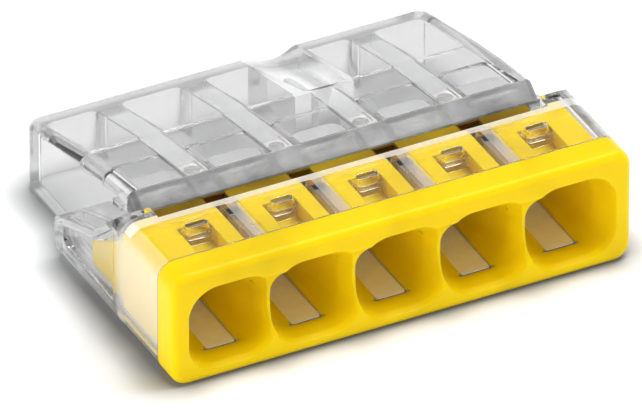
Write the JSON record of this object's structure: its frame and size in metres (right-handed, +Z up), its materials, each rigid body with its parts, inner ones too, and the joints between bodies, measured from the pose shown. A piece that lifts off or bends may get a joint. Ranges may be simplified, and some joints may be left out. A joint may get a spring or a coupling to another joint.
{
  "type": "push-in splicing connector",
  "caption": "Compact push-in splicing connector with a clear wedge-shaped housing, a yellow funnel cover and sprung clamping tongues over a common busbar.",
  "frame": {"origin": "centre of the underside, on the bottom face of the bounding box", "axes": "+X along the row of entries, +Y from the entry side to the rear, +Z up"},
  "size_m": [0.0216, 0.0166, 0.0055],
  "materials": {
    "clear_plastic": "clear, polished mould finish",
    "yellow_plastic": "satin gloss",
    "tinned_copper": "tin plated, satin",
    "spring_steel": "rolled strip"
  },
  "bodies": {
    "connector_body": {"clear_housing": "clear_plastic", "entry_cover": "yellow_plastic", "busbar": "tinned_copper", "clamp_spring_1": "spring_steel", "clamp_spring_2": "spring_steel", "clamp_spring_3": "spring_steel", "clamp_spring_4": "spring_steel", "clamp_spring_5": "spring_steel"},
    "tongue_1": {"clamp_tongue_1": "spring_steel"},
    "tongue_2": {"clamp_tongue_2": "spring_steel"},
    "tongue_3": {"clamp_tongue_3": "spring_steel"},
    "tongue_4": {"clamp_tongue_4": "spring_steel"},
    "tongue_5": {"clamp_tongue_5": "spring_steel"}
  },
  "joints": [
    {"name": "tongue_1_bend", "type": "hinge", "parent": "connector_body", "child": "tongue_1", "pos_m": [-0.00773, -0.00188, 0.00383], "axis": [1, 0, 0], "range_deg": [0, 34.5], "stiffness_Nm_per_rad": 0.03, "springref_deg": -11.46},
    {"name": "tongue_2_bend", "type": "hinge", "parent": "connector_body", "child": "tongue_2", "pos_m": [-0.004, -0.00188, 0.00383], "axis": [1, 0, 0], "range_deg": [0, 34.5], "stiffness_Nm_per_rad": 0.03, "springref_deg": -11.46},
    {"name": "tongue_3_bend", "type": "hinge", "parent": "connector_body", "child": "tongue_3", "pos_m": [0, -0.00188, 0.00383], "axis": [1, 0, 0], "range_deg": [0, 34.5], "stiffness_Nm_per_rad": 0.03, "springref_deg": -11.46},
    {"name": "tongue_4_bend", "type": "hinge", "parent": "connector_body", "child": "tongue_4", "pos_m": [0.004, -0.00188, 0.00383], "axis": [1, 0, 0], "range_deg": [0, 34.5], "stiffness_Nm_per_rad": 0.03, "springref_deg": -11.46},
    {"name": "tongue_5_bend", "type": "hinge", "parent": "connector_body", "child": "tongue_5", "pos_m": [0.00773, -0.00188, 0.00383], "axis": [1, 0, 0], "range_deg": [0, 34.5], "stiffness_Nm_per_rad": 0.03, "springref_deg": -11.46}
  ]
}
